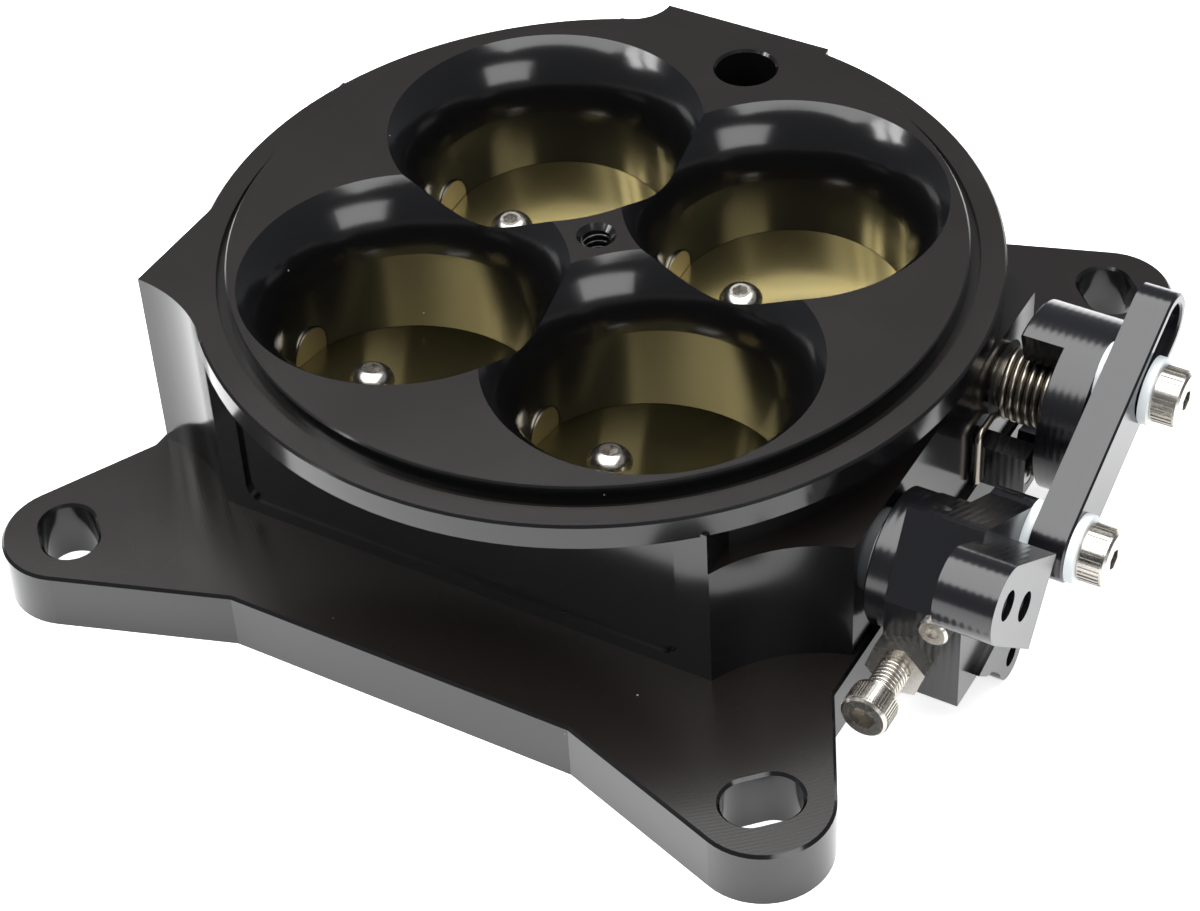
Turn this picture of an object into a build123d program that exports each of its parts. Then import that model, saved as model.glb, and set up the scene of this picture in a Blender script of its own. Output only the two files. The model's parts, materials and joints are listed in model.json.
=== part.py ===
from build123d import *
import math
import os

# Four-bore throttle body, millimetres. X runs along the throttle shafts with the linkage at +X,
# Y from the front shaft to the rear one, Z up. The origin is the centre of the flange's lower face.

# ---- driving dimensions ----
BORE_PITCH = 47.6
BORE_R = 22.2
BELL_OUT = 6.0
BELL_DEPTH = 13.0
TOP_Z = 49.6
LEDGE_Z = 47.1
RIM_LOW_Z = 42.1
SHOULDER_Z = 35.0
FLANGE_T = 11.0
SPIGOT_R = 63.1
RIM_R = 69.3
BODY_X = 65.8
FRONT_Y = 51.0

STUD_X = 66.9
STUD_Y = 69.8
SLOT_W = 9.5
SLOT_L = 13.4
EAR_R = 11.7
EDGE_Y = 70.6
EDGE_X = 67.0
SCALLOP_R = 27.6

SHAFT_R = 4.7625
SHAFT_Y = BORE_PITCH / 2
SHAFT_Z = 24.3
SHAFT_CLEAR_R = 5.0
BEARING_R = 7.144
BEARING_L = 9.5
SEAL_L = 3.2
RUN_CLEAR = 0.04
PLATE_T = 1.6
PLATE_TOP = -1.0
FLAT_HALF = 21.7
PLATE_GAP = 0.08
FRONT_TILT = -9.0
REAR_TILT = 5.0
PLATE_SCREW_X = 9.0
PLATE_SCREW_R = 2.0
PLATE_SCREW_L = 3.2
BUTTON_R = 3.9
BUTTON_H = 2.3
BUTTON_SOCKET = 2.6

LEVER_OUT = 84.9
LEVER_IN = 71.6
HUB_IN = 70.0
HUB_R = 15.6
WASHER_T = 1.6
WASHER_R = 5.9
LINK_T = 6.35
LINK_HALF_W = 6.2
LINK_IN = LEVER_OUT + WASHER_T
LINK_OUT = LINK_IN + LINK_T
LINK_ANGLE = 25.6
FRONT_STUD = (14.85, -0.2)
REAR_STUD = (-3.75, 11.0)
SHOULDER_R = 3.175
SLOT_HALF_W = 4.3
SLOT_SHANK_R = 1.7
CAP_HEAD_R = 4.76
CAP_HEAD_H = 4.76

ARM_OUT = 94.6
LOBE_OUT = 86.4
CABLE_HOLE_R = 2.5
SPRING_R = 5.95
WIRE_R = 0.62
COIL_PITCH = 1.45
COIL_TURNS = 9
SPRING_X = 66.95

os.makedirs("parts", exist_ok=True)


def rise(face, z0, z1):
    """Push a plan-view profile straight up from z0 to z1."""
    return extrude(Pos(0, 0, z0) * face, amount=z1 - z0, dir=(0, 0, 1))


def save(shape, node):
    shape.label = node
    export_step(shape, f"parts/{node}.step")


def x_cylinder(radius, x0, x1, y, z):
    return Pos((x0 + x1) / 2, y, z) * Rot(0, 90, 0) * Cylinder(radius, x1 - x0)


def y_cylinder(radius, y0, y1, x, z):
    return Pos(x, (y0 + y1) / 2, z) * Rot(90, 0, 0) * Cylinder(radius, y1 - y0)


def x_ring(outer, inner, x0, x1, y, z):
    return x_cylinder(outer, x0, x1, y, z) - x_cylinder(inner, x0 - 1, x1 + 1, y, z)


def block(x0, x1, y0, y1, z0, z1):
    centre = ((x0 + x1) / 2, (y0 + y1) / 2, (z0 + z1) / 2)
    return Pos(*centre) * Box(x1 - x0, y1 - y0, z1 - z0)


def side_prism(face, x0, x1):
    """A profile drawn in (Y, Z) and pushed out from x0 to x1."""
    return extrude(Plane.YZ.offset(x0) * face, amount=x1 - x0, dir=(1, 0, 0))


def tangent_point(point, centre, radius, side):
    """Where the line from a point touches a circle, on the side given as +1 or -1."""
    dx = point[0] - centre[0]
    dy = point[1] - centre[1]
    reach = math.hypot(dx, dy)
    turn = math.atan2(dy, dx) + side * math.acos(radius / reach)
    return (centre[0] + radius * math.cos(turn), centre[1] + radius * math.sin(turn))


def hex_prism(across_flats, height):
    return rise(RegularPolygon(across_flats / 2, 6, major_radius=False), 0, height)


# ---- housing: flange, square body, round rim and spigot, one billet piece ----
def flange():
    knee_front = (32.6, -EDGE_Y)
    knee_side = (EDGE_X, -44.5)
    ear = (STUD_X, -STUD_Y)
    quarter = [
        knee_front,
        tangent_point(knee_front, ear, EAR_R, 1),
        ear,
        tangent_point(knee_side, ear, EAR_R, -1),
        knee_side,
    ]
    right_front = quarter
    right_back = [(x, -y) for x, y in reversed(quarter)]
    left_back = [(-x, -y) for x, y in quarter]
    left_front = [(-x, y) for x, y in reversed(quarter)]
    outline = Polygon(*(right_front + right_back + left_back + left_front), align=None)
    for sx in (-1, 1):
        for sy in (-1, 1):
            outline += Pos(sx * STUD_X, sy * STUD_Y) * Circle(EAR_R)
    plate = rise(outline, 0, FLANGE_T)
    top_edges = plate.edges().filter_by(lambda e: e.center().Z > FLANGE_T - 0.01)
    return chamfer(top_edges, 0.5)


def stud_slots():
    slots = Part()
    for sx in (-1, 1):
        for sy in (-1, 1):
            turn = -45 * sx * sy
            place = Pos(sx * STUD_X, sy * STUD_Y) * Rot(0, 0, turn)
            shape = place * SlotOverall(SLOT_L, SLOT_W)
            mouth = place * SlotOverall(SLOT_L + 1.0, SLOT_W + 1.0)
            slots += rise(shape, -1, FLANGE_T + 1)
            slots += loft([Pos(0, 0, FLANGE_T - 0.5) * shape, Pos(0, 0, FLANGE_T + 0.01) * mouth])
    return slots


def bore_cutter():
    """Straight bore that opens in an arc, steep enough to leave a sharp rim in the top face."""
    lip_z = TOP_Z - BELL_DEPTH
    top_r = BORE_R + BELL_OUT
    arc_r = (BELL_DEPTH**2 + BELL_OUT**2) / (2 * BELL_OUT)
    half_turn = math.asin(BELL_DEPTH / arc_r) / 2
    middle = (BORE_R + arc_r - arc_r * math.cos(half_turn), 0, lip_z + arc_r * math.sin(half_turn))
    straight = Polyline((0, 0, -1), (BORE_R, 0, -1), (BORE_R, 0, lip_z))
    lip = ThreePointArc((BORE_R, 0, lip_z), middle, (top_r, 0, TOP_Z))
    closing = Polyline((top_r, 0, TOP_Z), (top_r, 0, TOP_Z + 5), (0, 0, TOP_Z + 5), (0, 0, -1))
    return revolve(make_face([straight, lip, closing]), Axis.Z)


def body_block():
    lower = block(-BODY_X, BODY_X, -FRONT_Y, FRONT_Y, 1, SHOULDER_Z)
    upper = block(-BODY_X, 0, -FRONT_Y, 21.8, 1, LEDGE_Z)
    front = block(-40, 48, -FRONT_Y, 0, 1, RIM_LOW_Z + 1)
    body = lower + upper + front
    for sx, sy, cx, cy in ((-1, -1, STUD_X, STUD_Y), (-1, 1, STUD_X, STUD_Y),
                           (1, -1, 73.5, 62.0), (1, 1, 73.5, 62.0)):
        top = LEDGE_Z + 1 if sx < 0 else SHOULDER_Z + 0.1
        scallop = Pos(sx * cx, sy * cy, 0) * rise(Circle(SCALLOP_R), 0, top)
        body -= scallop
    return body


def port_boss():
    outline = Polygon((-23.8, 69.9), (9.4, 69.9), (14.0, 40.0), (-30.0, 40.0), (-30.0, 62.5), align=None)
    boss = rise(outline, 1, LEDGE_Z)
    return boss - rise(Pos(-31.2, 69.6) * Circle(7.4), 0, 60)


def housing():
    neck = rise(Circle(65.0), SHOULDER_Z - 0.5, RIM_LOW_Z + 0.5)
    neck -= block(-80, 80, -80, -FRONT_Y, 0, 60)
    rim = rise(Circle(RIM_R), RIM_LOW_Z, LEDGE_Z)
    rim = chamfer(rim.edges().filter_by(GeomType.CIRCLE), 0.4)
    spigot = rise(Circle(SPIGOT_R), LEDGE_Z - 1, TOP_Z)
    spigot = chamfer(spigot.edges().group_by(Axis.Z)[-1], 0.3)
    solid = body_block() + port_boss() + neck + rim + spigot
    groove = rise(Circle(SPIGOT_R + 1.8) - Circle(SPIGOT_R), LEDGE_Z - 1.2, LEDGE_Z + 1)
    solid -= groove
    solid += flange()
    solid -= stud_slots()
    for sx in (-1, 1):
        for sy in (-1, 1):
            solid -= Pos(sx * BORE_PITCH / 2, sy * BORE_PITCH / 2, 0) * bore_cutter()
    for sy in (-1, 1):
        solid -= x_cylinder(SHAFT_CLEAR_R, -60, 60, sy * SHAFT_Y, SHAFT_Z)
        pocket = BEARING_L + SEAL_L
        solid -= x_cylinder(BEARING_R, BODY_X - pocket, BODY_X + 20, sy * SHAFT_Y, SHAFT_Z)
        solid -= x_cylinder(BEARING_R, -BODY_X - 20, -BODY_X + pocket, sy * SHAFT_Y, SHAFT_Z)
    # air cleaner stud: 1/4-20 tapped hole with a countersink, in the middle of the four bores
    solid -= Pos(0, 0, TOP_Z - 12) * Cylinder(2.55, 24 + 0.2)
    solid -= Pos(0, 0, TOP_Z - 0.45) * Cone(2.55, 3.5, 1.0)
    # air port in the rear boss, blind
    solid -= Pos(0.1, 54.9, TOP_Z - 15) * Cylinder(5.5, 32)
    solid -= Pos(0.1, 54.9, TOP_Z - 0.2) * Cone(5.5, 6.0, 0.6)
    # shallow name-plate recess in the front face, left blank
    recess = Plane.XZ.offset(FRONT_Y - 0.8) * (Pos(0, 26.5) * RectangleRounded(84, 26, 3))
    solid -= extrude(recess, amount=2)
    # tapped holes for the two posts beside the shafts
    for y in (-7.5, 13.6):
        solid -= x_cylinder(1.6, BODY_X - 9, BODY_X + 5, y, 15.0)
    return solid


save(housing(), "throttle_housing")


# ---- bearings, seals and end plugs in the shaft bores ----
for name, sy in (("front", -1), ("rear", 1)):
    y = sy * SHAFT_Y
    x_in = BODY_X - SEAL_L - BEARING_L
    bearing_bore = SHAFT_R + RUN_CLEAR
    drive = x_ring(BEARING_R, bearing_bore, x_in, x_in + BEARING_L, y, SHAFT_Z)
    save(drive, f"{name}_drive_bearing")
    far = x_ring(BEARING_R, bearing_bore, -x_in - BEARING_L, -x_in, y, SHAFT_Z)
    save(far, f"{name}_far_bearing")
    seal = x_ring(BEARING_R, bearing_bore, BODY_X - SEAL_L, BODY_X - 0.1, y, SHAFT_Z)
    save(seal, f"{name}_shaft_seal")
    plug = x_cylinder(BEARING_R, -BODY_X + 0.3, -BODY_X + SEAL_L - 0.5, y, SHAFT_Z)
    save(plug, f"{name}_end_plug")


# ---- shafts, each milled flat where the plates sit ----
def bore_centres():
    return (-BORE_PITCH / 2, BORE_PITCH / 2)


def about_shaft(shape, y, angle):
    """Turn a shape built about the X axis to its shaft, tilted by an angle about X."""
    return Pos(0, y, SHAFT_Z) * Rot(angle, 0, 0) * shape


def shaft(y, tilt, x_end):
    rod = x_cylinder(SHAFT_R, -BODY_X + SEAL_L + 0.2, x_end, 0, 0)
    for cx in bore_centres():
        rod -= block(cx - FLAT_HALF, cx + FLAT_HALF, -6, 6, PLATE_TOP - PLATE_T, 6)
        for sx in (-1, 1):
            rod -= Pos(cx + sx * PLATE_SCREW_X, 0, -3) * Cylinder(PLATE_SCREW_R, 8)
    rod -= x_cylinder(1.7, x_end - 12, x_end + 1, 0, 0)
    return about_shaft(rod, y, tilt)


def throttle_plate(cx, y, tilt):
    """Brass disc cut to the bore, with flats at its ends that clear the shaft's round shoulders."""
    reach = BORE_R + 5
    flat_x = FLAT_HALF - PLATE_GAP
    flat_y = SHAFT_R + 0.2
    slab = block(-reach, reach, -reach, reach, PLATE_TOP - PLATE_T, PLATE_TOP)
    slab -= block(flat_x, reach + 1, -flat_y, flat_y, -4, 4)
    slab -= block(-reach - 1, -flat_x, -flat_y, flat_y, -4, 4)
    for sx in (-1, 1):
        slab -= Pos(sx * PLATE_SCREW_X, 0, 0) * Cylinder(PLATE_SCREW_R + 0.1, 8)
    slab = Pos(cx, y, SHAFT_Z) * Rot(tilt, 0, 0) * slab
    wall = Pos(cx, y, SHAFT_Z) * Cylinder(BORE_R - PLATE_GAP, 40)
    return slab & wall


def button_screw():
    """Button-head hex screw, head seat at z = 0, shank down."""
    crown = (1.9, 0, BUTTON_H)
    arc = ThreePointArc((BUTTON_R, 0, 0.3), (BUTTON_R * 0.8, 0, BUTTON_H * 0.72), crown)
    rim = Polyline((0, 0, 0), (BUTTON_R, 0, 0), (BUTTON_R, 0, 0.3))
    cap = Polyline(crown, (0, 0, BUTTON_H), (0, 0, 0))
    head = revolve(make_face([rim, arc, cap]), Axis.Z)
    head -= Pos(0, 0, BUTTON_H - 1.3) * hex_prism(BUTTON_SOCKET, 2)
    return head + Pos(0, 0, -PLATE_SCREW_L / 2) * Cylinder(PLATE_SCREW_R, PLATE_SCREW_L)


def plate_screws(y, tilt):
    group = []
    for cx in bore_centres():
        for sx in (-1, 1):
            spot = Pos(cx + sx * PLATE_SCREW_X, 0, PLATE_TOP) * button_screw()
            group.append(about_shaft(spot, y, tilt))
    return Compound(children=group)


SHAFT_END = LEVER_OUT - 1.6
for name, y, tilt in (("front", -SHAFT_Y, FRONT_TILT), ("rear", SHAFT_Y, REAR_TILT)):
    save(shaft(y, tilt, SHAFT_END), f"{name}_shaft")
    save(throttle_plate(-BORE_PITCH / 2, y, tilt), f"{name}_plate_far")
    save(throttle_plate(BORE_PITCH / 2, y, tilt), f"{name}_plate_near")
    save(plate_screws(y, tilt), f"{name}_plate_screws")


# ---- front lever: machined block with a cable arm, a link lug and a lower cable lobe ----
def at_front(y, z):
    return (y - SHAFT_Y, z + SHAFT_Z)


def at_rear(y, z):
    return (y + SHAFT_Y, z + SHAFT_Z)


def dot(point, radius):
    return Pos(*point) * Circle(radius)


def front_lever():
    front_y = -12.8
    core = Polygon(at_front(front_y, -15.2), at_front(front_y, 2.7), at_front(-4.9, 16.4),
                   at_front(-3.5, 16.0), at_front(8.6, 8.2), at_front(8.6, -6.0),
                   at_front(3.0, -15.2), align=None)
    lever = side_prism(core, LEVER_IN, LEVER_OUT)
    lug = Polygon(at_front(-4.0, 16.2), at_front(17.0, 4.2), at_front(20.1, 1.6),
                  at_front(16.5, -5.5), at_front(6.0, -8.0), at_front(0, 0), align=None)
    lug += dot(at_front(*FRONT_STUD), 5.6)
    lever += side_prism(lug, 77.4, LEVER_OUT)
    lobe = at_front(5.6, -19.6)
    tail = Polygon(at_front(-8.0, -12.0), at_front(-4.6, -15.2), at_front(-1.4, -16.6),
                   at_front(1.3, -20.4), at_front(9.6, -17.8), at_front(8.6, -8.0), align=None)
    lever += side_prism(tail + dot(lobe, 4.4), 80.6, LOBE_OUT)
    lever -= x_cylinder(2.0, 70, LOBE_OUT + 1, *lobe)
    outer_hole = at_front(-18.6, 17.1)
    inner_hole = at_front(-11.6, 10.7)
    top_knee = at_front(0.6, 11.4)
    low_knee = at_front(-8.5, -1.5)
    arm_end = 6.4
    arm = Polygon(top_knee, tangent_point(top_knee, outer_hole, arm_end, 1), outer_hole,
                  tangent_point(low_knee, outer_hole, arm_end, -1), low_knee, align=None)
    lever += side_prism(arm + dot(outer_hole, arm_end), LEVER_OUT - 0.01, ARM_OUT)
    for hole in (outer_hole, inner_hole):
        lever -= x_cylinder(CABLE_HOLE_R, LEVER_OUT - 8, ARM_OUT + 1, *hole)
    lever -= x_cylinder(SHAFT_R, 60, SHAFT_END, *at_front(0, 0))
    lever -= x_cylinder(3.6, 60, LEVER_OUT + 1, *at_front(0, 0))
    lever -= x_cylinder(2.4, LEVER_OUT - 6.2, LEVER_OUT + 20, *at_front(*FRONT_STUD))
    lever -= y_cylinder(2.415, -60, 0, IDLE_X, IDLE_Z)
    lever -= Pos(FRONT_SET_X, -SHAFT_Y, SHAFT_Z + 10) * Cylinder(2.0, 20)
    lever -= y_cylinder(1.5, -60, -30, LOCK_X, LOCK_Z)
    return lever


IDLE_X = 75.2
IDLE_Z = 15.8
LOCK_X = 80.6
LOCK_Z = 25.0
FRONT_SET_X = 75.0
save(front_lever(), "front_lever")

disc = x_ring(11.7, SHAFT_R, 67.4, LEVER_IN, -SHAFT_Y, SHAFT_Z)
save(chamfer(disc.edges().filter_by(GeomType.CIRCLE).sort_by(SortBy.RADIUS)[-2:], 0.3), "front_lever_disc")
save(x_ring(7.0, SHAFT_R + 0.02, BODY_X + 0.05, 67.4, -SHAFT_Y, SHAFT_Z), "front_thrust_washer")


# ---- rear hub lever: round drum, notched for the spring and its post ----
def rear_hub():
    centre = at_rear(0, 0)
    hub = x_cylinder(HUB_R, HUB_IN, LEVER_OUT, *centre)
    hub = chamfer(hub.edges().filter_by(GeomType.CIRCLE), 0.4)
    steps = [centre]
    first = 107
    last = 250
    for i in range(12):
        a = math.radians(first + (last - first) * i / 11)
        steps.append(at_rear(22 * math.cos(a), 22 * math.sin(a)))
    hub -= side_prism(Polygon(*steps, align=None), HUB_IN - 1, 77.8)
    hub -= x_cylinder(8.2, HUB_IN - 1, 81.0, *centre)
    hub -= x_cylinder(SHAFT_R, 60, SHAFT_END, *centre)
    hub -= x_cylinder(3.6, 60, LEVER_OUT + 1, *centre)
    hub -= x_cylinder(2.4, LEVER_OUT - 6.2, LEVER_OUT + 20, *at_rear(*REAR_STUD))
    hub -= Pos(REAR_SET_X, SHAFT_Y, SHAFT_Z) * Rot(-60, 0, 0) * Pos(0, 0, 10) * Cylinder(1.6, 20)
    return hub


REAR_SET_X = 82.9
save(rear_hub(), "rear_hub")


# ---- screws that hold the levers on ----
def flat_screw(y):
    """Flat-head screw in the end of a shaft, its head flush with the lever's face."""
    shank = x_cylinder(1.7, SHAFT_END - 10, SHAFT_END + 0.5, y, SHAFT_Z)
    head = x_cylinder(3.6, SHAFT_END, LEVER_OUT - 0.1, y, SHAFT_Z)
    socket = Pos(LEVER_OUT - 1.0, y, SHAFT_Z) * Rot(0, 90, 0) * hex_prism(2.4, 2)
    return shank + head - socket


def set_screw(radius, length):
    screw = Pos(0, 0, length / 2) * Cylinder(radius, length)
    return screw - Pos(0, 0, length - 1.6) * hex_prism(radius, 3)


save(flat_screw(-SHAFT_Y), "front_lever_screw")
save(flat_screw(SHAFT_Y), "rear_hub_screw")
front_set = Pos(FRONT_SET_X, -SHAFT_Y, SHAFT_Z + SHAFT_R + 0.02) * set_screw(2.0, 6.5)
save(front_set, "front_set_screw")
rear_set = Rot(-60, 0, 0) * Pos(0, 0, SHAFT_R + 0.02) * set_screw(1.6, 8.5)
save(Pos(REAR_SET_X, SHAFT_Y, SHAFT_Z) * rear_set, "rear_set_screw")


# ---- idle screw in the lever's lower block, its jam nut and the lock screw above it ----
def cap_screw(shank_r, length, head_r, head_h, socket):
    """Socket cap screw, head seat at z = 0, shank down."""
    head = Pos(0, 0, head_h / 2) * Cylinder(head_r, head_h)
    head = chamfer(head.edges().group_by(Axis.Z)[-1], 0.4)
    head -= Pos(0, 0, head_h * 0.45) * hex_prism(socket, head_h)
    return head + Pos(0, 0, -length / 2) * Cylinder(shank_r, length)


LEVER_FACE_Y = -SHAFT_Y - 12.8
IDLE_TIP_Y = -10.6
IDLE_SEAT_Y = -46.6
idle = cap_screw(2.415, IDLE_TIP_Y - IDLE_SEAT_Y, 3.98, 4.83, 3.9)
save(Pos(IDLE_X, IDLE_SEAT_Y, IDLE_Z) * Rot(90, 0, 0) * idle, "idle_screw")
nut = hex_prism(9.3, 3.2) - Pos(0, 0, 1.6) * Cylinder(2.415, 5)
save(Pos(IDLE_X, LEVER_FACE_Y, IDLE_Z) * Rot(90, 0, 0) * Rot(0, 0, 12) * nut, "idle_jam_nut")
lock = cap_screw(1.5, 5.5, 2.6, 1.5, 2.0)
save(Pos(LOCK_X, LEVER_FACE_Y, LOCK_Z) * Rot(90, 0, 0) * lock, "idle_lock_screw")


# ---- link bar with its shoulder screws and washers ----
def link_bar():
    run = math.radians(LINK_ANGLE)
    pivot = at_front(*FRONT_STUD)

    def along(distance):
        return (pivot[0] + distance * math.cos(run), pivot[1] + distance * math.sin(run))

    span = 41.4
    turn = Rot(0, 0, LINK_ANGLE)
    bar = Pos(*along(span / 2)) * turn * SlotCenterToCenter(span, 2 * LINK_HALF_W)
    slot_in = 29.6
    slot_out = span
    slot_middle = Pos(*along((slot_in + slot_out) / 2))
    slot = slot_middle * turn * SlotCenterToCenter(slot_out - slot_in, 2 * SLOT_HALF_W)
    link = side_prism(bar - slot, LINK_IN, LINK_OUT)
    link = chamfer(link.edges().filter_by(lambda e: abs(e.center().X - LINK_OUT) < 0.01), 0.35)
    return link - x_cylinder(SHOULDER_R + 0.05, 80, 100, *pivot)


def link_screw(centre, shoulder_r):
    seat = LINK_OUT + WASHER_T
    upright = cap_screw(2.4, seat - LEVER_OUT + 6.0, CAP_HEAD_R, CAP_HEAD_H, 3.2)
    screw = Pos(seat, *centre) * Rot(0, 90, 0) * upright
    if shoulder_r > 2.4:
        return screw + x_cylinder(shoulder_r, LEVER_OUT, seat, *centre)
    waist = x_ring(4.0, shoulder_r, LINK_IN - 0.05, LINK_OUT + 0.05, *centre)
    return screw - waist


def link_washers(centre, hole_r):
    inner = x_ring(WASHER_R, hole_r, LEVER_OUT, LINK_IN - 0.05, *centre)
    outer = x_ring(WASHER_R, hole_r, LINK_OUT + 0.05, LINK_OUT + WASHER_T, *centre)
    return Compound(children=[inner, outer])


save(link_bar(), "link_bar")
save(link_screw(at_front(*FRONT_STUD), SHOULDER_R), "front_link_screw")
save(link_screw(at_rear(*REAR_STUD), SLOT_SHANK_R), "rear_link_screw")
save(link_washers(at_front(*FRONT_STUD), SHOULDER_R + 0.02), "front_link_washers")
save(link_washers(at_rear(*REAR_STUD), 2.42), "rear_link_washers")


# ---- return spring: coil round the rear shaft, its leg hooked over the spring post ----
def return_spring():
    coil_path = Helix(COIL_PITCH, COIL_PITCH * COIL_TURNS, SPRING_R)
    start = coil_path @ 0
    profile = Plane(origin=start, z_dir=coil_path % 0) * Circle(WIRE_R)
    coil = sweep(profile, path=coil_path)
    coil = Rot(0, 90, 0) * coil
    leave = math.radians(235)
    first = at_rear(SPRING_R * math.cos(leave), SPRING_R * math.sin(leave))
    coil = Pos(SPRING_X, SHAFT_Y, SHAFT_Z) * Rot(235 + 180, 0, 0) * coil
    leg_y = SPRING_POST_Y0 - WIRE_R - 0.02
    points = [(SPRING_X, *first), (SPRING_X, 16.3, 22.0), (SPRING_X, leg_y, 22.3), (SPRING_X, leg_y, 11.6)]
    leg_path = FilletPolyline(*points, radius=1.4)
    leg = sweep(Plane(origin=leg_path @ 0, z_dir=leg_path % 0) * Circle(WIRE_R), path=leg_path)
    return coil, leg


# ---- posts bolted to the +X wall: one anchors the spring, one meets the idle screw ----
SPRING_POST_Y0 = 11.3
spring_post = block(BODY_X, 75.3, SPRING_POST_Y0, 16.0, 11.2, 19.3)
idle_post = block(BODY_X, 77.0, IDLE_TIP_Y, -4.6, 11.2, 19.4)
for name, post, y, x_out in (("spring_post", spring_post, 13.6, 75.3), ("idle_post", idle_post, -7.5, 77.0)):
    post -= x_cylinder(1.6, BODY_X - 1, x_out + 1, y, 15.0)
    post -= x_cylinder(2.2, x_out - 1.8, x_out + 1, y, 15.0)
    save(post, name)
    shank = x_cylinder(1.6, BODY_X - 8, x_out - 1.0, y, 15.0)
    head = x_cylinder(2.2, x_out - 1.8, x_out - 0.1, y, 15.0)
    socket = Pos(x_out - 1.2, y, 15.0) * Rot(0, 90, 0) * hex_prism(1.9, 2)
    save(shank + head - socket, f"{name}_screw")

coil, leg = return_spring()
save(coil + leg, "return_spring")
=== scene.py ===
import json
import math
import bpy
from mathutils import Matrix, Vector


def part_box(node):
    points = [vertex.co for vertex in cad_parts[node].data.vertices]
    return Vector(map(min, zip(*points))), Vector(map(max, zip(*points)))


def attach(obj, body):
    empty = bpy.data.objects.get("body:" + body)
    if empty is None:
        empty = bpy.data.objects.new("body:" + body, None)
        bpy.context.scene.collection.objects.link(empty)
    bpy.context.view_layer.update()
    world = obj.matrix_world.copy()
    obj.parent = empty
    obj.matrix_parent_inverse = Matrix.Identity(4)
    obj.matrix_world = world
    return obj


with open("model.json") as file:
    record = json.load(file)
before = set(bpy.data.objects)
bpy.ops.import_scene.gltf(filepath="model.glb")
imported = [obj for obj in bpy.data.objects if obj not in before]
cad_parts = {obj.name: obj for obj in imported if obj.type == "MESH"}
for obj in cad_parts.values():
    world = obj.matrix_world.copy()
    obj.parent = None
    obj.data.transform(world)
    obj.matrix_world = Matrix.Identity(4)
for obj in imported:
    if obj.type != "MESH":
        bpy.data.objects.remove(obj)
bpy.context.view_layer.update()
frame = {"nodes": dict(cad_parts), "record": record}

nodes = frame["nodes"]
mounts = {mount["name"]: mount for mount in frame["record"]["mounts"]}


# ---------------------------------------------------------------------------------------------
# Housing: one block of aluminium plate, milled all over and bored four times, then black anodised.
# The top is faced on a mill, which leaves fine arcs round the middle. The dyed oxide is glossy and
# nearly black face on, and goes light grey where it mirrors a pale surround at a shallow angle.

def linear(hex_colour):
    """An sRGB hex colour as linear RGBA."""
    parts = [int(hex_colour[i:i + 2], 16) / 255 for i in (1, 3, 5)]
    return [c / 12.92 if c <= 0.04045 else ((c + 0.055) / 1.055) ** 2.4 for c in parts] + [1.0]


def add_node(tree, kind, inputs=None, **settings):
    """Adds a node, sets its properties, and fills its inputs with values or other nodes' sockets."""
    node = tree.nodes.new(kind)
    for name, value in settings.items():
        setattr(node, name, value)
    for key, value in (inputs or {}).items():
        if isinstance(value, bpy.types.NodeSocket):
            tree.links.new(value, node.inputs[key])
        else:
            node.inputs[key].default_value = value
    return node


def start_material(name, hex_colour, metallic, roughness):
    """A material with only its shader: returns it, its tree and the shader."""
    material = bpy.data.materials.new(name)
    material.use_nodes = True
    tree = material.node_tree
    tree.nodes.clear()
    shader = add_node(tree, "ShaderNodeBsdfPrincipled",
                      {"Base Color": linear(hex_colour), "Metallic": metallic, "Roughness": roughness})
    add_node(tree, "ShaderNodeOutputMaterial", {"Surface": shader.outputs["BSDF"]})
    return material, tree, shader


def finish_nodes(names, material):
    """Gives CAD nodes a material."""
    for name in names:
        piece = nodes[name]
        for place in piece.material_slots:
            place.material = material
        if not piece.material_slots:
            piece.data.materials.append(material)


anodised_billet, tree, shader = start_material("gloss black anodised billet", "#0a0a0b", 0.0, 0.16)
shader.inputs["IOR"].default_value = 1.52
place = add_node(tree, "ShaderNodeTexCoord").outputs["Object"]
# Facing arcs are really 0.15 mm apart, drawn 0.7 mm apart so that they show.
ARC_PITCH = 0.0007
arcs = add_node(tree, "ShaderNodeTexWave", {"Vector": place, "Scale": math.tau / (20 * ARC_PITCH),
                                            "Distortion": 0.6, "Detail": 1.0},
                wave_type="RINGS", rings_direction="Z")
normal = add_node(tree, "ShaderNodeNewGeometry").outputs["Normal"]
upward = add_node(tree, "ShaderNodeSeparateXYZ", {0: normal}).outputs["Z"]
top_only = add_node(tree, "ShaderNodeMath", {0: upward, 1: 0.98}, operation="GREATER_THAN").outputs[0]
arc_depth = add_node(tree, "ShaderNodeMath", {0: arcs.outputs["Fac"], 1: top_only}, operation="MULTIPLY")
bump = add_node(tree, "ShaderNodeBump", {"Height": arc_depth.outputs[0], "Strength": 0.10,
                                         "Distance": 0.00002})
tree.links.new(bump.outputs["Normal"], shader.inputs["Normal"])
# The faced top is a little more matt than the bored and side-milled walls. Its lighter, warmer base colour is
# painted light on the upward faces.
painted_top_light = add_node(tree, "ShaderNodeMix", {"Factor": top_only, "A": linear("#0a0a0b"), "B": linear("#14110f")},
                 data_type="RGBA").outputs["Result"]
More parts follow.
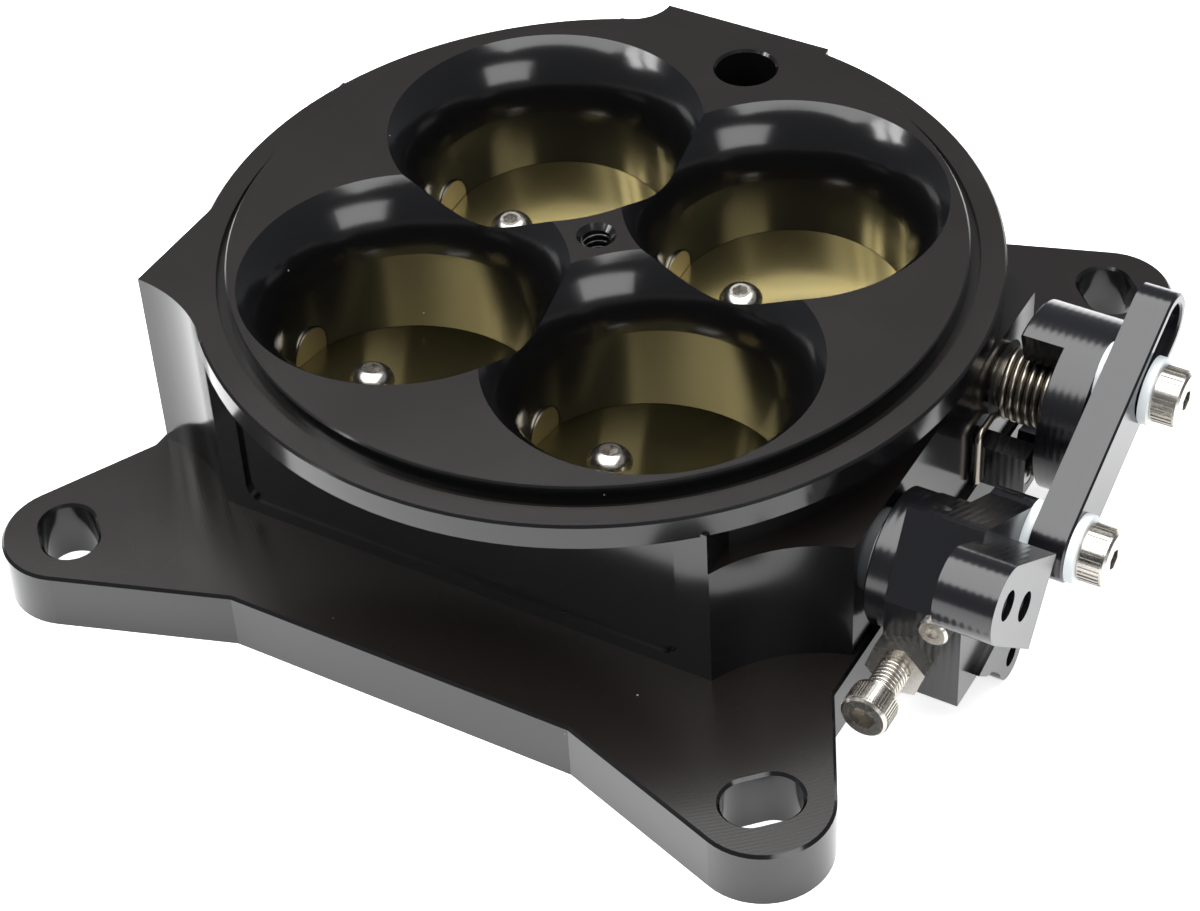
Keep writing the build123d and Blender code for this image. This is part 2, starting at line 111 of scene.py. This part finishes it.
# Bright specks where dust and tiny nicks catch the light, about 0.3 mm across.
cells = add_node(tree, "ShaderNodeTexVoronoi", {"Vector": place, "Scale": 150.0})
near = add_node(tree, "ShaderNodeMath", {0: cells.outputs["Distance"], 1: 0.026}, operation="LESS_THAN")
pick = add_node(tree, "ShaderNodeSeparateColor", {0: cells.outputs["Color"]}).outputs["Red"]
some = add_node(tree, "ShaderNodeMath", {0: pick, 1: 0.78}, operation="GREATER_THAN")
speck = add_node(tree, "ShaderNodeMath", {0: near.outputs[0], 1: some.outputs[0]}, operation="MULTIPLY")
# The specks are laid over the base colour, which carries the painted light on the top faces.
tint = add_node(tree, "ShaderNodeMix", {"Factor": speck.outputs[0], "A": painted_top_light, "B": linear("#857f76")},
                data_type="RGBA")
tree.links.new(tint.outputs["Result"], shader.inputs["Base Color"])
cloud = add_node(tree, "ShaderNodeTexNoise", {"Vector": place, "Scale": 45.0, "Detail": 3.0})
gloss = add_node(tree, "ShaderNodeMapRange", {"Value": cloud.outputs["Fac"], "To Min": 0.10, "To Max": 0.19})
matt = add_node(tree, "ShaderNodeMath", {0: top_only, 1: 0.12}, operation="MULTIPLY").outputs[0]
sheen = add_node(tree, "ShaderNodeMath", {0: gloss.outputs["Result"], 1: matt}, operation="ADD")
tree.links.new(sheen.outputs[0], shader.inputs["Roughness"])
finish_nodes(["throttle_housing"], anodised_billet)


# ---------------------------------------------------------------------------------------------
# Throttle plates: four 1.6 mm discs of yellow brass sheet, turned at a slant so that they close the
# bores. They are polished, a little uneven in gloss, and mirror the dark bore walls.

plate_brass, tree, shader = start_material("polished yellow brass sheet", "#cfc08a", 1.0, 0.18)
place = add_node(tree, "ShaderNodeTexCoord").outputs["Object"]
cloud = add_node(tree, "ShaderNodeTexNoise", {"Vector": place, "Scale": 60.0, "Detail": 4.0})
gloss = add_node(tree, "ShaderNodeMapRange", {"Value": cloud.outputs["Fac"], "To Min": 0.14, "To Max": 0.24})
tree.links.new(gloss.outputs["Result"], shader.inputs["Roughness"])
tarnish = add_node(tree, "ShaderNodeMix", {"Factor": cloud.outputs["Fac"], "A": linear("#d3c48c"),
                                           "B": linear("#bba96c")}, data_type="RGBA")
tree.links.new(tarnish.outputs["Result"], shader.inputs["Base Color"])
finish_nodes(["front_plate_far", "front_plate_near", "rear_plate_far", "rear_plate_near"], plate_brass)


# ---------------------------------------------------------------------------------------------
# Shafts and bearings: ground steel rod in needle bearings, with lip seals of black nitrile rubber at
# the linkage side and blackened steel plugs at the far side. Mostly hidden, seen from below.

ground_steel = start_material("ground steel rod", "#b9b1a0", 1.0, 0.26)[0]
finish_nodes(["front_shaft", "rear_shaft"], ground_steel)
bearing_steel = start_material("hardened bearing steel", "#8d8d90", 1.0, 0.3)[0]
for end in ("front", "rear"):
    finish_nodes([f"{end}_drive_bearing", f"{end}_far_bearing"], bearing_steel)
seal_rubber = start_material("nitrile rubber", "#141414", 0.0, 0.6)[0]
finish_nodes(["front_shaft_seal", "rear_shaft_seal"], seal_rubber)
blackened_steel = start_material("black oxide steel", "#2a2a2c", 0.6, 0.4)[0]
finish_nodes(["front_end_plug", "rear_end_plug"], blackened_steel)


# ---------------------------------------------------------------------------------------------
# Levers and posts: milled aluminium, black anodised after milling. The cutter leaves fine straight
# steps down the sloped faces, and the dye sits a little greyer and more satin than on the housing.

anodised_lever, tree, shader = start_material("satin black anodised lever", "#101013", 0.12, 0.20)
shader.inputs["IOR"].default_value = 1.62
place = add_node(tree, "ShaderNodeTexCoord").outputs["Object"]
# Cutter steps along X are really 0.5 mm apart, drawn 1.3 mm apart so that they show.
STEP_PITCH = 0.0013
steps = add_node(tree, "ShaderNodeTexWave", {"Vector": place, "Scale": math.tau / (20 * STEP_PITCH),
                                             "Distortion": 1.2, "Detail": 2.0, "Detail Scale": 0.4},
                 wave_type="BANDS", bands_direction="X")
normal = add_node(tree, "ShaderNodeNewGeometry").outputs["Normal"]
sideways = add_node(tree, "ShaderNodeSeparateXYZ", {0: normal}).outputs["X"]
flat_side = add_node(tree, "ShaderNodeMath", {0: sideways}, operation="ABSOLUTE").outputs[0]
sloped = add_node(tree, "ShaderNodeMath", {0: flat_side, 1: 0.5}, operation="LESS_THAN").outputs[0]
depth = add_node(tree, "ShaderNodeMath", {0: steps.outputs["Fac"], 1: sloped}, operation="MULTIPLY")
bump = add_node(tree, "ShaderNodeBump", {"Height": depth.outputs[0], "Strength": 0.3, "Distance": 0.00005})
tree.links.new(bump.outputs["Normal"], shader.inputs["Normal"])
finish_nodes(["front_lever", "front_lever_disc", "rear_hub", "link_bar", "spring_post", "idle_post"],
             anodised_lever)


# ---------------------------------------------------------------------------------------------
# Small fasteners: stainless button heads on the plates, set screws, the jam nut and the idle screw.
# Cold headed and tumbled, so bright with a soft blur.

stainless, tree, shader = start_material("tumbled stainless steel", "#b5b1aa", 1.0, 0.24)
place = add_node(tree, "ShaderNodeTexCoord").outputs["Object"]
cloud = add_node(tree, "ShaderNodeTexNoise", {"Vector": place, "Scale": 900.0, "Detail": 2.0})
gloss = add_node(tree, "ShaderNodeMapRange", {"Value": cloud.outputs["Fac"], "To Min": 0.16, "To Max": 0.34})
tree.links.new(gloss.outputs["Result"], shader.inputs["Roughness"])
finish_nodes([name for name in nodes if name.endswith(("screw", "screws", "nut"))], stainless)


# ---------------------------------------------------------------------------------------------
# Knurled heads: the two link screws and the idle screw have socket heads rolled with fine straight
# ridges. Each ridge is a thin bar standing out of the head's side.

def run_geometry(name, group, values, body, matrix):
    """Runs a Geometry Nodes group once, keeps its result as a plain mesh, places it and rides it."""
    carrier = bpy.data.objects.new(name, bpy.data.meshes.new(name))
    bpy.context.scene.collection.objects.link(carrier)
    modifier = carrier.modifiers.new(name, "NODES")
    modifier.node_group = group
    sockets = {item.name: item.identifier for item in group.interface.items_tree if item.in_out == "INPUT"}
    for label, value in values.items():
        modifier[sockets[label]] = value
    seen = carrier.evaluated_get(bpy.context.evaluated_depsgraph_get())
    mesh = bpy.data.meshes.new_from_object(seen)
    carrier.modifiers.clear()
    mesh.transform(matrix)
    carrier.data = mesh
    mesh.name = name
    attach(carrier, body)
    return carrier


def start_group(name, sizes):
    """A Geometry Nodes group with named size inputs: returns it and its input node."""
    group = bpy.data.node_groups.new(name, "GeometryNodeTree")
    group.interface.new_socket("Geometry", in_out="INPUT", socket_type="NodeSocketGeometry")
    for label, kind in sizes:
        group.interface.new_socket(label, in_out="INPUT", socket_type=kind)
    group.interface.new_socket("Geometry", in_out="OUTPUT", socket_type="NodeSocketGeometry")
    return group, add_node(group, "NodeGroupInput")


def close_group(group, geometry, material):
    """Ends a group in Realize Instances and Set Material."""
    real = add_node(group, "GeometryNodeRealizeInstances", {"Geometry": geometry})
    painted = add_node(group, "GeometryNodeSetMaterial", {"Geometry": real.outputs[0], "Material": material})
    add_node(group, "NodeGroupOutput", {"Geometry": painted.outputs[0]})


knurl, sizes = start_group("straight knurl", [
    ("Ridges", "NodeSocketInt"), ("Radius", "NodeSocketFloat"), ("Length", "NodeSocketFloat"),
    ("Ridge Width", "NodeSocketFloat"), ("Ridge Height", "NodeSocketFloat")])
index = add_node(knurl, "GeometryNodeInputIndex").outputs[0]
share = add_node(knurl, "ShaderNodeMath", {0: index, 1: sizes.outputs["Ridges"]}, operation="DIVIDE")
angle = add_node(knurl, "ShaderNodeMath", {0: share.outputs[0], 1: math.tau}, operation="MULTIPLY").outputs[0]
across = add_node(knurl, "ShaderNodeMath", {0: angle}, operation="COSINE").outputs[0]
along = add_node(knurl, "ShaderNodeMath", {0: angle}, operation="SINE").outputs[0]
unit = add_node(knurl, "ShaderNodeCombineXYZ", {"X": across, "Y": along}).outputs[0]
spot = add_node(knurl, "ShaderNodeVectorMath", {0: unit, "Scale": sizes.outputs["Radius"]}, operation="SCALE")
points = add_node(knurl, "GeometryNodePoints", {"Count": sizes.outputs["Ridges"],
                                                "Position": spot.outputs[0]}).outputs[0]
bar_size = add_node(knurl, "ShaderNodeCombineXYZ", {"X": sizes.outputs["Ridge Height"],
                                                    "Y": sizes.outputs["Ridge Width"],
                                                    "Z": sizes.outputs["Length"]}).outputs[0]
bar = add_node(knurl, "GeometryNodeMeshCube", {"Size": bar_size}).outputs[0]
turn = add_node(knurl, "ShaderNodeCombineXYZ", {"Z": angle}).outputs[0]
ridges = add_node(knurl, "GeometryNodeInstanceOnPoints", {"Points": points, "Instance": bar,
                                                          "Rotation": turn})
close_group(knurl, ridges.outputs[0], stainless)

FRONT_BODY = "front_shaft_assembly"
REAR_BODY = "rear_shaft_assembly"
HEAD_LENGTH = 0.00476
KNURL_LENGTH = 0.0036
for name, body in (("front_link_screw", FRONT_BODY), ("rear_link_screw", REAR_BODY)):
    low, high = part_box(name)
    radius = (high[1] - low[1]) / 2
    centre = Vector((high[0] - HEAD_LENGTH / 2 - 0.0002, (low[1] + high[1]) / 2, (low[2] + high[2]) / 2))
    along_x = Matrix.Translation(centre) @ Matrix.Rotation(math.pi / 2, 4, "Y")
    run_geometry(f"{name}_knurl", knurl, {"Ridges": 34, "Radius": radius, "Length": KNURL_LENGTH,
                                          "Ridge Width": 0.00042, "Ridge Height": 0.00036},
                 body, along_x)

low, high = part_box("idle_screw")
idle_radius = (high[2] - low[2]) / 2
idle_centre = Vector(((low[0] + high[0]) / 2, low[1] + HEAD_LENGTH / 2 + 0.0002, (low[2] + high[2]) / 2))
along_y = Matrix.Rotation(math.pi / 2, 4, "X")
run_geometry("idle_screw_knurl", knurl, {"Ridges": 46, "Radius": idle_radius, "Length": KNURL_LENGTH,
                                         "Ridge Width": 0.00026, "Ridge Height": 0.0003},
             FRONT_BODY, Matrix.Translation(idle_centre) @ along_y)


# ---------------------------------------------------------------------------------------------
# Threads: the rolled thread on the idle screw between its jam nut and its head, and the cut threads
# in the air-cleaner stud hole and the two cable holes of the arm. Each is one ridge along a helix.

def thread_group(name, material):
    """A ridge that follows a helix, its middle line on the stated radius."""
    group, sizes = start_group(name, [("Turns", "NodeSocketFloat"), ("Radius", "NodeSocketFloat"),
                                      ("Length", "NodeSocketFloat"), ("Ridge Radius", "NodeSocketFloat")])
    helix = add_node(group, "GeometryNodeCurveSpiral", {"Resolution": 40, "Rotations": sizes.outputs["Turns"],
                                                        "Start Radius": sizes.outputs["Radius"],
                                                        "End Radius": sizes.outputs["Radius"],
                                                        "Height": sizes.outputs["Length"]})
    profile = add_node(group, "GeometryNodeCurvePrimitiveCircle",
                       {"Resolution": 6, "Radius": sizes.outputs["Ridge Radius"]})
    ridge = add_node(group, "GeometryNodeCurveToMesh",
                     {"Curve": helix.outputs[0], "Profile Curve": profile.outputs[0], "Fill Caps": True})
    close_group(group, ridge.outputs[0], material)
    return group


rolled_thread = thread_group("rolled thread", stainless)
cut_thread = thread_group("cut thread", anodised_lever)
nut_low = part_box("idle_jam_nut")[0]
SHANK_RADIUS = 0.002415
FINE_PITCH = 0.0008
seat = low[1] + 0.00483
thread_length = nut_low[1] - seat
start = Vector((idle_centre[0], nut_low[1], idle_centre[2]))
run_geometry("idle_screw_thread", rolled_thread, {"Turns": thread_length / FINE_PITCH, "Radius": SHANK_RADIUS,
                                                  "Length": thread_length, "Ridge Radius": 0.00026},
             FRONT_BODY, Matrix.Translation(start) @ along_y)

COARSE_PITCH = 0.00127
stud_hole = mounts["centre_stud_hole"]
housing_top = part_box("throttle_housing")[1][2]
hole_depth = 0.012
run_geometry("stud_hole_thread", thread_group("coarse cut thread", anodised_billet),
             {"Turns": hole_depth / COARSE_PITCH, "Radius": stud_hole["dims"]["r_mm"] / 1000,
              "Length": hole_depth, "Ridge Radius": 0.0003},
             "housing", Matrix.Translation((0, 0, housing_top - 0.001 - hole_depth)))
for hole in ("arm_hole_outer", "arm_hole_inner"):
    y, z = mounts[hole]["pos_m"][1:]
    outer_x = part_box("front_lever")[1][0]
    depth_in = 0.0085
    place_in = Matrix.Translation((outer_x - 0.0006 - depth_in, y, z)) @ Matrix.Rotation(math.pi / 2, 4, "Y")
    run_geometry(f"{hole}_thread", cut_thread, {"Turns": depth_in / FINE_PITCH,
                                                "Radius": mounts[hole]["dims"]["r_mm"] / 1000,
                                                "Length": depth_in, "Ridge Radius": 0.0002},
                 FRONT_BODY, place_in)


# ---------------------------------------------------------------------------------------------
# Washers: natural nylon, punched from sheet. They let the link turn against its screws and levers,
# and are milky white and a little translucent.

nylon, tree, shader = start_material("natural nylon sheet", "#c9cecf", 0.0, 0.42)
shader.inputs["Subsurface Weight"].default_value = 0.15
shader.inputs["Subsurface Radius"].default_value = (0.0008, 0.0009, 0.0009)
finish_nodes(["front_link_washers", "rear_link_washers", "front_thrust_washer"], nylon)


# ---------------------------------------------------------------------------------------------
# Return spring: bright drawn music wire, 1.25 mm thick, wound close round the rear shaft.
# Its one leg bends down over the spring post.

spring_wire = start_material("drawn spring wire", "#a39c90", 1.0, 0.28)[0]
finish_nodes(["return_spring"], spring_wire)


# ---------------------------------------------------------------------------------------------
# Studio: a white table that glows a little, a wide overhead softbox, a weak one at the linkage side
# and a dim surround. Two narrow panes high on the left show as a window in the bell mouths.

FLOOR_SIZE = 3.0
bpy.ops.mesh.primitive_plane_add(size=FLOOR_SIZE, location=(0, 0, 0))
floor = bpy.context.object
floor.name = "white_table"
white_table, tree, shader = start_material("white laminate table", "#f6f6f6", 0.0, 0.6)
shader.inputs["Emission Color"].default_value = linear("#ffffff")
shader.inputs["Emission Strength"].default_value = 0.62
floor.data.materials.append(white_table)

world = bpy.data.worlds.new("dim studio")
world.use_nodes = True
world.node_tree.nodes["Background"].inputs["Color"].default_value = linear("#cdd0d6")
world.node_tree.nodes["Background"].inputs["Strength"].default_value = 0.34
bpy.context.scene.world = world


def softbox(name, place, aim, width, depth, power):
    """A rectangular area light turned to face a point."""
    lamp = bpy.data.lights.new(name, "AREA")
    lamp.shape = "RECTANGLE"
    lamp.size = width
    lamp.size_y = depth
    lamp.energy = power
    holder = bpy.data.objects.new(name, lamp)
    bpy.context.scene.collection.objects.link(holder)
    holder.location = place
    holder.rotation_euler = (Vector(aim) - Vector(place)).to_track_quat("-Z", "Y").to_euler()
    return holder


softbox("overhead_softbox", (-0.10, -0.02, 0.95), (-0.05, 0, 0), 1.3, 1.3, 26.0)
softbox("side_softbox", (0.9, -0.5, 0.5), (0.05, 0, 0.02), 0.7, 0.5, 5.0)
PANE_WIDTH = 0.14
PANE_HEIGHT = 0.30
PANE_POWER = 1.6
WINDOW_X = -0.66
WINDOW_Y = -0.43
WINDOW_Z = 0.66
for side, shift in (("left", -0.09), ("right", 0.09)):
    pane_place = (WINDOW_X + shift * 0.6, WINDOW_Y - shift * 0.8, WINDOW_Z)
    softbox(f"window_{side}_pane", pane_place, (0, 0, 0.03), PANE_WIDTH, PANE_HEIGHT, PANE_POWER)


# ---------------------------------------------------------------------------------------------
# Camera: a 90 mm lens half a metre away, above the front right corner and rolled a little.

AZIMUTH = math.radians(31.712)
ELEVATION = math.radians(42.012)
ROLL = math.radians(-3.423)
DISTANCE = 0.5051
AIM = Vector((0.01316, -0.02434, 0.02423))
back = Vector((math.sin(AZIMUTH) * math.cos(ELEVATION), -math.cos(AZIMUTH) * math.cos(ELEVATION),
               math.sin(ELEVATION)))
right = Vector((math.cos(AZIMUTH), math.sin(AZIMUTH), 0))
up = back.cross(right)
right_rolled = right * math.cos(ROLL) + up * math.sin(ROLL)
up_rolled = up * math.cos(ROLL) - right * math.sin(ROLL)
camera_data = bpy.data.cameras.new("camera")
camera_data.lens = 90.02
camera_data.sensor_width = 36.0
camera_data.clip_start = 0.01
camera = bpy.data.objects.new("camera", camera_data)
bpy.context.scene.collection.objects.link(camera)
turned = Matrix((right_rolled, up_rolled, back)).transposed().to_4x4()
camera.matrix_world = Matrix.Translation(AIM + back * DISTANCE) @ turned
bpy.context.scene.camera = camera
bpy.context.scene.view_settings.view_transform = "Standard"
